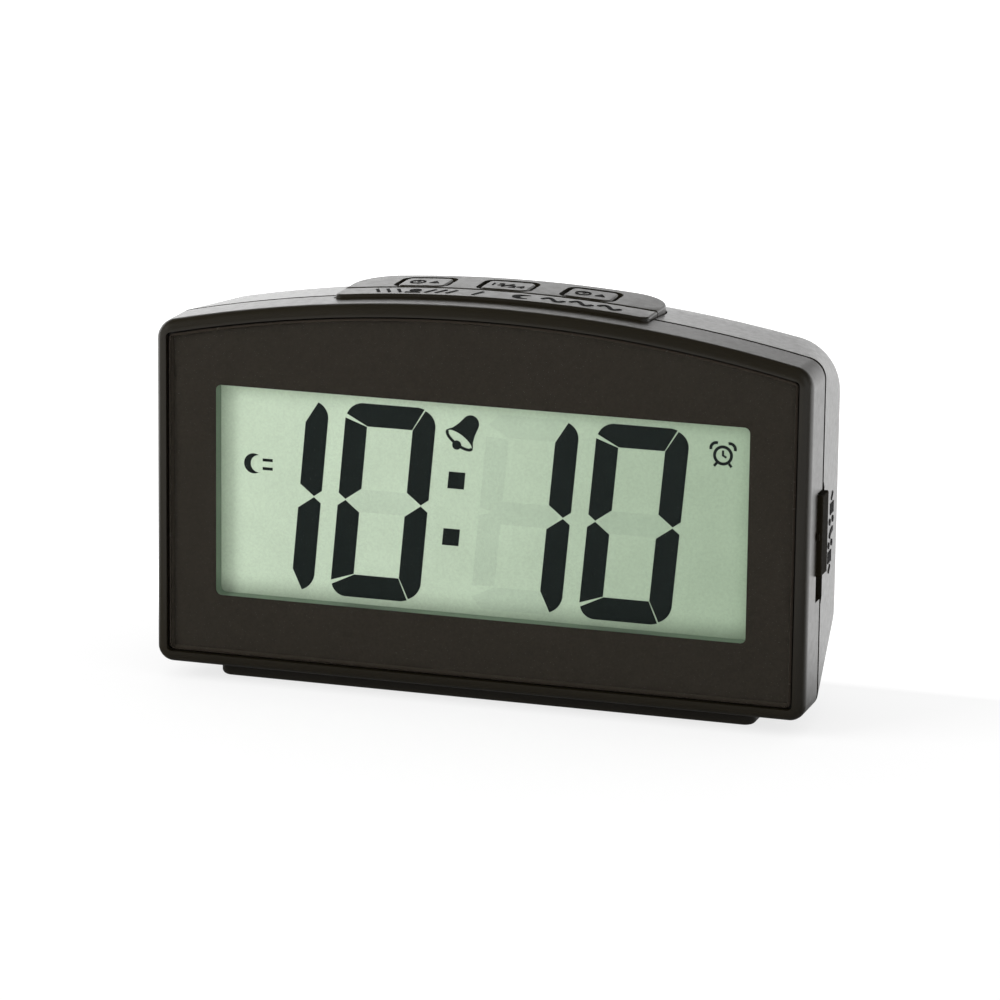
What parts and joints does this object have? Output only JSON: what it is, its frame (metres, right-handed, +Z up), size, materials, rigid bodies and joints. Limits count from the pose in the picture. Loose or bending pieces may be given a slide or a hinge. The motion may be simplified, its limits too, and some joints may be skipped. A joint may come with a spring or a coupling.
{
  "type": "digital clock",
  "caption": "Free-standing battery alarm clock: arched dark case, large digit display behind a lens, press bar and keys on top, slide switch on the side, battery door on the back.",
  "frame": {"origin": "middle of the flat plinth face that the clock stands on", "axes": "+X to the right seen from the front, +Y to the back, +Z up; the display faces -Y"},
  "size_m": [0.1154, 0.0303, 0.0695],
  "materials": {
    "case_plastic": "satin moulded plastic, dark brown-black",
    "key_plastic": "satin moulded plastic, dark brown-black",
    "knob_plastic": "satin moulded plastic, near black",
    "lens_acrylic": "clear acrylic with a soft anti-glare front",
    "mask_print": "dark print on the back of the lens",
    "frame_plastic": "light grey-green moulded plastic",
    "display_green": "pale green polariser film",
    "segment_dark": "blue-black display segments",
    "display_glass": "clear float glass",
    "reflector_film": "silvery reflector film",
    "guide_acrylic": "milky acrylic",
    "lamp_resin": "clear resin",
    "strip_rubber": "elastomer with conducting layers",
    "board_green": "green glass-fibre board",
    "resin_black": "black epoxy",
    "screw_steel": "zinc-plated steel",
    "can_steel": "tinned steel can",
    "switch_plastic": "black moulded plastic",
    "contact_steel": "nickel-plated spring steel",
    "cell_jacket": "plain printed steel jacket",
    "sounder_plastic": "black moulded plastic",
    "lead_vinyl": "vinyl insulation",
    "ribbon_vinyl": "grey ribbon cable"
  },
  "bodies": {
    "case": {"front_case": "case_plastic", "rear_case": "case_plastic", "display_lens": "lens_acrylic", "lens_mask": "mask_print", "display_frame": "frame_plastic", "front_polariser": "display_green", "display_segments": "segment_dark", "front_glass": "display_glass", "rear_glass": "display_glass", "rear_reflector": "reflector_film", "light_guide": "guide_acrylic", "display_lamp": "lamp_resin", "contact_strips": "strip_rubber", "main_board": "board_green", "board_screws": "screw_steel", "controller_cap": "resin_black", "quartz_crystal": "can_steel", "slide_switch": "can_steel", "key_deck": "key_plastic", "key_board": "board_green", "key_switches": "switch_plastic", "key_board_screws": "screw_steel", "upper_cell": "cell_jacket", "lower_cell": "cell_jacket", "bridge_contact": "contact_steel", "positive_contact": "contact_steel", "negative_contact": "contact_steel", "sounder": "sounder_plastic", "case_screws": "screw_steel", "battery_leads": "lead_vinyl", "sounder_leads": "lead_vinyl", "key_ribbon": "ribbon_vinyl"},
    "snooze": {"snooze_bar": "key_plastic", "snooze_plungers": "switch_plastic"},
    "hour": {"hour_key": "key_plastic", "hour_plunger": "switch_plastic"},
    "format": {"format_key": "key_plastic", "format_plunger": "switch_plastic"},
    "minute": {"minute_key": "key_plastic", "minute_plunger": "switch_plastic"},
    "slider": {"slider_knob": "knob_plastic", "switch_lever": "switch_plastic"},
    "door": {"battery_door": "case_plastic"}
  },
  "joints": [
    {"name": "snooze_press", "type": "slide", "parent": "case", "child": "snooze", "axis": [0, 0, -1], "range_m": [0, 0.0007], "stiffness_N_per_m": 2000},
    {"name": "hour_press", "type": "slide", "parent": "case", "child": "hour", "axis": [0, 0, -1], "range_m": [0, 0.0007], "stiffness_N_per_m": 2000},
    {"name": "format_press", "type": "slide", "parent": "case", "child": "format", "axis": [0, 0, -1], "range_m": [0, 0.0007], "stiffness_N_per_m": 2000},
    {"name": "minute_press", "type": "slide", "parent": "case", "child": "minute", "axis": [0, 0, -1], "range_m": [0, 0.0007], "stiffness_N_per_m": 2000},
    {"name": "mode_slide", "type": "slide", "parent": "case", "child": "slider", "axis": [0, 0, -1], "range_m": [0, 0.004]},
    {"name": "door_hinge", "type": "hinge", "parent": "case", "child": "door", "pos_m": [0, 0.0145, 0.02215], "axis": [-1, 0, 0], "range_deg": [0, 85]}
  ]
}
